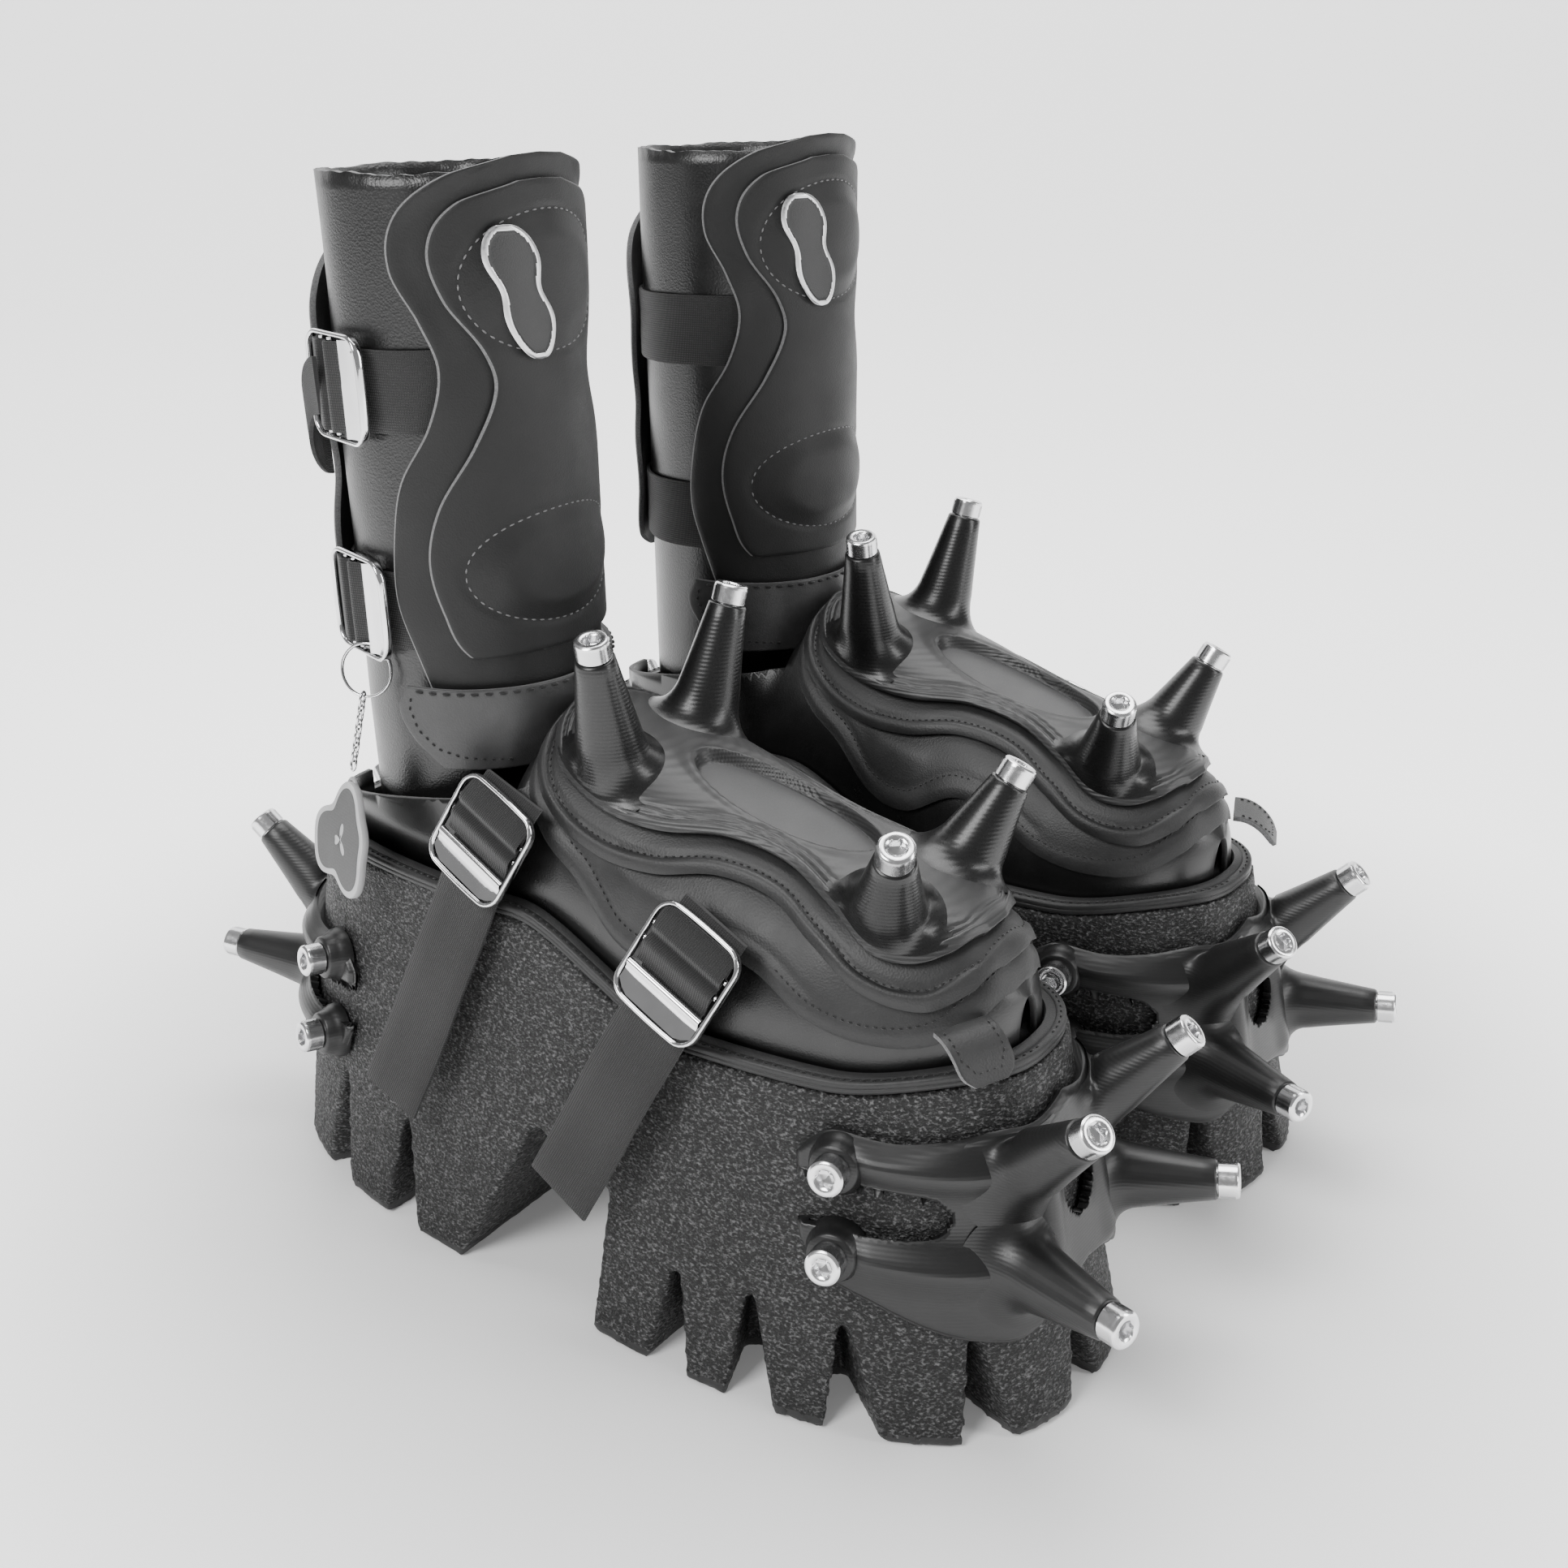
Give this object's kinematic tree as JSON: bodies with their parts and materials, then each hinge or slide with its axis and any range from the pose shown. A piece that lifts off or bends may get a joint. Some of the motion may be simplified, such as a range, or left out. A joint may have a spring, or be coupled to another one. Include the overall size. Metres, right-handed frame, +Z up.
{
  "type": "pair of spiked platform boots",
  "caption": "Pair of tall black platform boots with spiked printed plates, leather shafts with shin guards, webbing straps, metal ladder-lock buckles and a key charm.",
  "frame": {"origin": "floor, midway between the two boots, at the middle of the pair's length", "axes": "+Z up from the floor, -Y the way the toes point, +X towards the wearer's left boot"},
  "size_m": [0.351, 0.4592, 0.417],
  "materials": {
    "printed_platform": "fuzzy printed texture",
    "printed_plate": "satin with layer lines",
    "black_leather": "smooth, slightly shiny",
    "matt_leather": "matt",
    "webbing": "woven webbing",
    "chrome_steel": "bright",
    "footbed_fabric": "matt",
    "badge_metal": "satin rim round a dark field",
    "charm_plastic": "matt with a pale rim"
  },
  "bodies": {
    "right_boot": {"right_platform": "printed_platform", "right_footbed": "footbed_fabric", "right_upper": "black_leather", "right_welt_band": "black_leather", "right_pull_tab": "black_leather", "right_apron": "black_leather", "right_apron_overlay": "black_leather", "right_instep_plate": "printed_plate", "right_instep_screw_rear_outer": "chrome_steel", "right_instep_screw_rear_inner": "chrome_steel", "right_instep_screw_front_outer": "chrome_steel", "right_instep_screw_front_inner": "chrome_steel", "right_toe_plate": "printed_plate", "right_heel_plate": "printed_plate", "right_ankle_cuff": "black_leather"},
    "right_leg": {"right_shaft": "black_leather", "right_shin_guard": "matt_leather", "right_shin_overlay": "matt_leather", "right_shin_badge": "badge_metal", "right_calf_panel": "matt_leather", "right_leg_strap_upper": "webbing", "right_leg_strap_lower": "webbing"},
    "right_leg_buckle_upper": {"right_leg_buckle_upper": "chrome_steel"},
    "right_leg_buckle_lower": {"right_leg_buckle_lower": "chrome_steel"},
    "right_foot_strap_rear": {"right_foot_strap_rear": "webbing"},
    "right_foot_buckle_rear": {"right_foot_buckle_rear": "chrome_steel"},
    "right_foot_strap_front": {"right_foot_strap_front": "webbing"},
    "right_foot_buckle_front": {"right_foot_buckle_front": "chrome_steel"},
    "left_boot": {"left_platform": "printed_platform", "left_footbed": "footbed_fabric", "left_upper": "black_leather", "left_welt_band": "black_leather", "left_pull_tab": "black_leather", "left_apron": "black_leather", "left_apron_overlay": "black_leather", "left_instep_plate": "printed_plate", "left_instep_screw_rear_outer": "chrome_steel", "left_instep_screw_rear_inner": "chrome_steel", "left_instep_screw_front_outer": "chrome_steel", "left_instep_screw_front_inner": "chrome_steel", "left_toe_plate": "printed_plate", "left_heel_plate": "printed_plate", "left_ankle_cuff": "black_leather"},
    "left_leg": {"left_shaft": "black_leather", "left_shin_guard": "matt_leather", "left_shin_overlay": "matt_leather", "left_shin_badge": "badge_metal", "left_calf_panel": "matt_leather", "left_leg_strap_upper": "webbing", "left_leg_strap_lower": "webbing"},
    "left_leg_buckle_upper": {"left_leg_buckle_upper": "chrome_steel"},
    "left_leg_buckle_lower": {"left_leg_buckle_lower": "chrome_steel"},
    "left_foot_strap_rear": {"left_foot_strap_rear": "webbing"},
    "left_foot_buckle_rear": {"left_foot_buckle_rear": "chrome_steel"},
    "left_foot_strap_front": {"left_foot_strap_front": "webbing"},
    "left_foot_buckle_front": {"left_foot_buckle_front": "chrome_steel"},
    "key_ring": {"key_ring": "chrome_steel"},
    "key_chain": {"key_chain": "chrome_steel"},
    "charm": {"charm": "charm_plastic"}
  },
  "joints": [
    {"name": "right_ankle_flex", "type": "hinge", "parent": "right_boot", "child": "right_leg", "pos_m": [-0.0871, 0.09332, 0.212], "axis": [0.9993, 0.0366, 0], "range_deg": [-2, 5], "stiffness_Nm_per_rad": 6},
    {"name": "right_leg_buckle_upper_lift", "type": "hinge", "parent": "right_leg", "child": "right_leg_buckle_upper", "pos_m": [-0.13127, 0.12133, 0.337], "axis": [0, 0, -1], "range_deg": [0, 50]},
    {"name": "right_leg_buckle_lower_lift", "type": "hinge", "parent": "right_leg", "child": "right_leg_buckle_lower", "pos_m": [-0.13127, 0.12133, 0.254], "axis": [0, 0, -1], "range_deg": [0, 50]},
    {"name": "right_foot_strap_rear_swing", "type": "hinge", "parent": "right_boot", "child": "right_foot_strap_rear", "pos_m": [-0.13461, 0.02454, 0.196], "axis": [0.0282, 0.9525, 0.3034], "range_deg": [0, 28]},
    {"name": "right_foot_buckle_rear_lift", "type": "hinge", "parent": "right_foot_strap_rear", "child": "right_foot_buckle_rear", "pos_m": [-0.13964, 0.02607, 0.19298], "axis": [0.0523, 0.9228, 0.3818], "range_deg": [0, 50]},
    {"name": "right_foot_strap_front_swing", "type": "hinge", "parent": "right_boot", "child": "right_foot_strap_front", "pos_m": [-0.13359, -0.07149, 0.172], "axis": [0.0555, 0.9275, 0.3697], "range_deg": [0, 28]},
    {"name": "right_foot_buckle_front_lift", "type": "hinge", "parent": "right_foot_strap_front", "child": "right_foot_buckle_front", "pos_m": [-0.13888, -0.07038, 0.16975], "axis": [0.0483, 0.9357, 0.3495], "range_deg": [0, 50]},
    {"name": "pair_spacing", "type": "slide", "parent": "right_boot", "child": "left_boot", "axis": [1, 0, 0], "range_m": [0, 0.2]},
    {"name": "left_ankle_flex", "type": "hinge", "parent": "left_boot", "child": "left_leg", "pos_m": [0.0871, 0.09332, 0.212], "axis": [0.9993, -0.0366, 0], "range_deg": [-2, 5], "stiffness_Nm_per_rad": 6},
    {"name": "left_leg_buckle_upper_lift", "type": "hinge", "parent": "left_leg", "child": "left_leg_buckle_upper", "pos_m": [0.13127, 0.12133, 0.337], "axis": [0, 0, 1], "range_deg": [0, 50]},
    {"name": "left_leg_buckle_lower_lift", "type": "hinge", "parent": "left_leg", "child": "left_leg_buckle_lower", "pos_m": [0.13127, 0.12133, 0.254], "axis": [0, 0, 1], "range_deg": [0, 50]},
    {"name": "left_foot_strap_rear_swing", "type": "hinge", "parent": "left_boot", "child": "left_foot_strap_rear", "pos_m": [0.13461, 0.02454, 0.196], "axis": [0.0282, -0.9525, -0.3034], "range_deg": [0, 28]},
    {"name": "left_foot_buckle_rear_lift", "type": "hinge", "parent": "left_foot_strap_rear", "child": "left_foot_buckle_rear", "pos_m": [0.13964, 0.02607, 0.19298], "axis": [0.0523, -0.9228, -0.3818], "range_deg": [0, 50]},
    {"name": "left_foot_strap_front_swing", "type": "hinge", "parent": "left_boot", "child": "left_foot_strap_front", "pos_m": [0.13359, -0.07149, 0.172], "axis": [0.0555, -0.9275, -0.3697], "range_deg": [0, 28]},
    {"name": "left_foot_buckle_front_lift", "type": "hinge", "parent": "left_foot_strap_front", "child": "left_foot_buckle_front", "pos_m": [0.13888, -0.07038, 0.16975], "axis": [0.0483, -0.9357, -0.3495], "range_deg": [0, 50]},
    {"name": "key_ring_swing", "type": "hinge", "parent": "right_leg_buckle_lower", "child": "key_ring", "pos_m": [-0.13587, 0.09951, 0.235], "axis": [0.2062, 0.9785, 0], "range_deg": [0, 24]},
    {"name": "key_chain_swing", "type": "hinge", "parent": "key_ring", "child": "key_chain", "pos_m": [-0.14119, 0.10063, 0.21842], "axis": [0.2062, 0.9785, 0], "range_deg": [0, 40]},
    {"name": "charm_swing", "type": "hinge", "parent": "key_chain", "child": "charm", "pos_m": [-0.15038, 0.10257, 0.18338], "axis": [0.9452, -0.1992, -0.2588], "range_deg": [-25, 25]}
  ]
}
